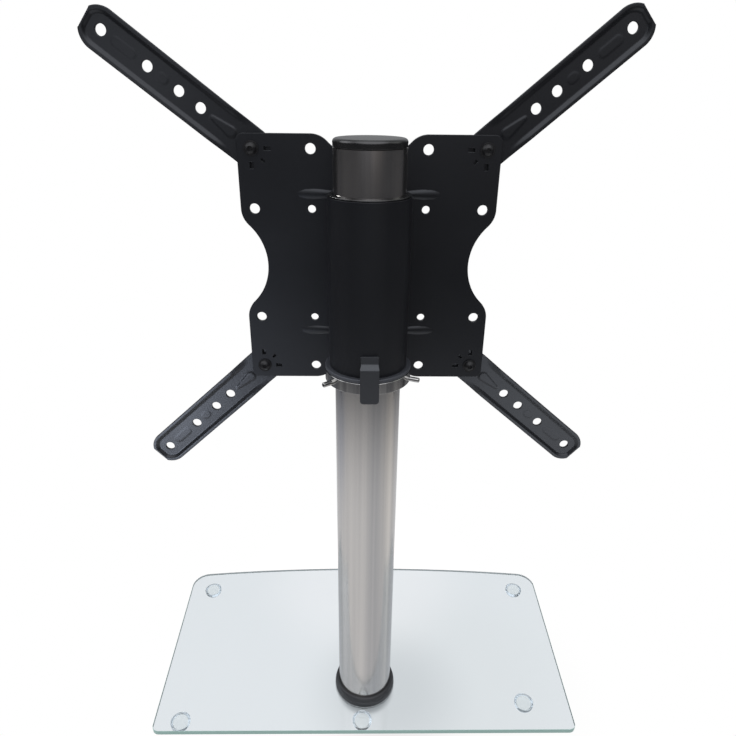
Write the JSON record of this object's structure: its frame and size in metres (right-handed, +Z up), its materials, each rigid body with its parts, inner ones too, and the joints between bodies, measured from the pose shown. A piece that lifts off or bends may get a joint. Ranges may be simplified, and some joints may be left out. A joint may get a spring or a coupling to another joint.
{
  "type": "television stand",
  "caption": "Table-top television stand: a steel pole on a clear glass foot carries a height-adjustable swivel sleeve with a scalloped mounting plate and turning arms",
  "frame": {"origin": "under the middle of the glass foot, on the surface that the clear feet stand on", "axes": "+Z up along the pole, +Y towards the television, -Y the rear side that the picture shows, +X to the right in the picture"},
  "size_m": [0.49, 0.252, 0.7272],
  "materials": {
    "clear_glass": "clear toughened glass with a polished green edge",
    "clear_bumper": "clear soft polyurethane",
    "clear_plastic": "clear sheet plastic",
    "black_plastic": "black moulded plastic, smooth",
    "satin_plastic": "black moulded plastic, satin",
    "black_rubber": "black rubber sheet",
    "plated_steel": "bright zinc plated steel",
    "stainless": "stainless steel, fine brushed along the pole",
    "turned_stainless": "turned stainless steel",
    "black_coat": "black powder coat with a fine texture",
    "black_screw": "black oxide steel"
  },
  "bodies": {
    "stand": {"glass_base": "clear_glass", "front_left_foot": "clear_bumper", "front_right_foot": "clear_bumper", "rear_left_foot": "clear_bumper", "rear_middle_foot": "clear_bumper", "rear_right_foot": "clear_bumper", "glass_gasket": "clear_plastic", "foot_ring": "satin_plastic", "pole_insert": "plated_steel", "base_bolt": "plated_steel", "base_disc": "plated_steel", "base_pad": "black_rubber", "pole": "stainless", "pole_cap": "black_plastic"},
    "collar": {"locking_collar": "turned_stainless"},
    "left_pin": {"left_locking_pin": "turned_stainless"},
    "right_pin": {"right_locking_pin": "turned_stainless"},
    "bracket": {"sleeve": "black_coat", "upper_bush": "black_plastic", "lower_bush": "satin_plastic", "swivel_stop": "black_coat", "vesa_plate": "black_coat", "arm_screws": "black_screw", "arm_washers": "black_screw", "arm_nuts": "plated_steel"},
    "upper_left": {"upper_left_arm": "black_coat"},
    "upper_right": {"upper_right_arm": "black_coat"},
    "lower_left": {"lower_left_arm": "black_coat"},
    "lower_right": {"lower_right_arm": "black_coat"}
  },
  "joints": [
    {"name": "height_slide", "type": "slide", "parent": "stand", "child": "collar", "axis": [0, 0, 1], "range_m": [-0.2, 0.03]},
    {"name": "swivel", "type": "hinge", "parent": "collar", "child": "bracket", "pos_m": [0, -0.065, 0.518], "axis": [0, 0, 1], "range_deg": [-38, 50]},
    {"name": "left_pin_screw", "type": "slide", "parent": "collar", "child": "left_pin", "axis": [-0.7986, -0.6018, 0], "range_m": [0, 0.0015]},
    {"name": "right_pin_screw", "type": "slide", "parent": "collar", "child": "right_pin", "axis": [0.9205, -0.3907, 0], "range_m": [0, 0.0015]},
    {"name": "upper_left_arm_pivot", "type": "hinge", "parent": "bracket", "child": "upper_left", "pos_m": [-0.1, -0.027, 0.618], "axis": [0, 1, 0], "range_deg": [-37.7, 52.3]},
    {"name": "upper_right_arm_pivot", "type": "hinge", "parent": "bracket", "child": "upper_right", "pos_m": [0.1, -0.027, 0.618], "axis": [0, 1, 0], "range_deg": [-49.3, 40.7]},
    {"name": "lower_left_arm_pivot", "type": "hinge", "parent": "bracket", "child": "lower_left", "pos_m": [-0.1, -0.027, 0.418], "axis": [0, 1, 0], "range_deg": [-47.9, 42.1]},
    {"name": "lower_right_arm_pivot", "type": "hinge", "parent": "bracket", "child": "lower_right", "pos_m": [0.1, -0.027, 0.418], "axis": [0, 1, 0], "range_deg": [-40.4, 49.6]}
  ]
}
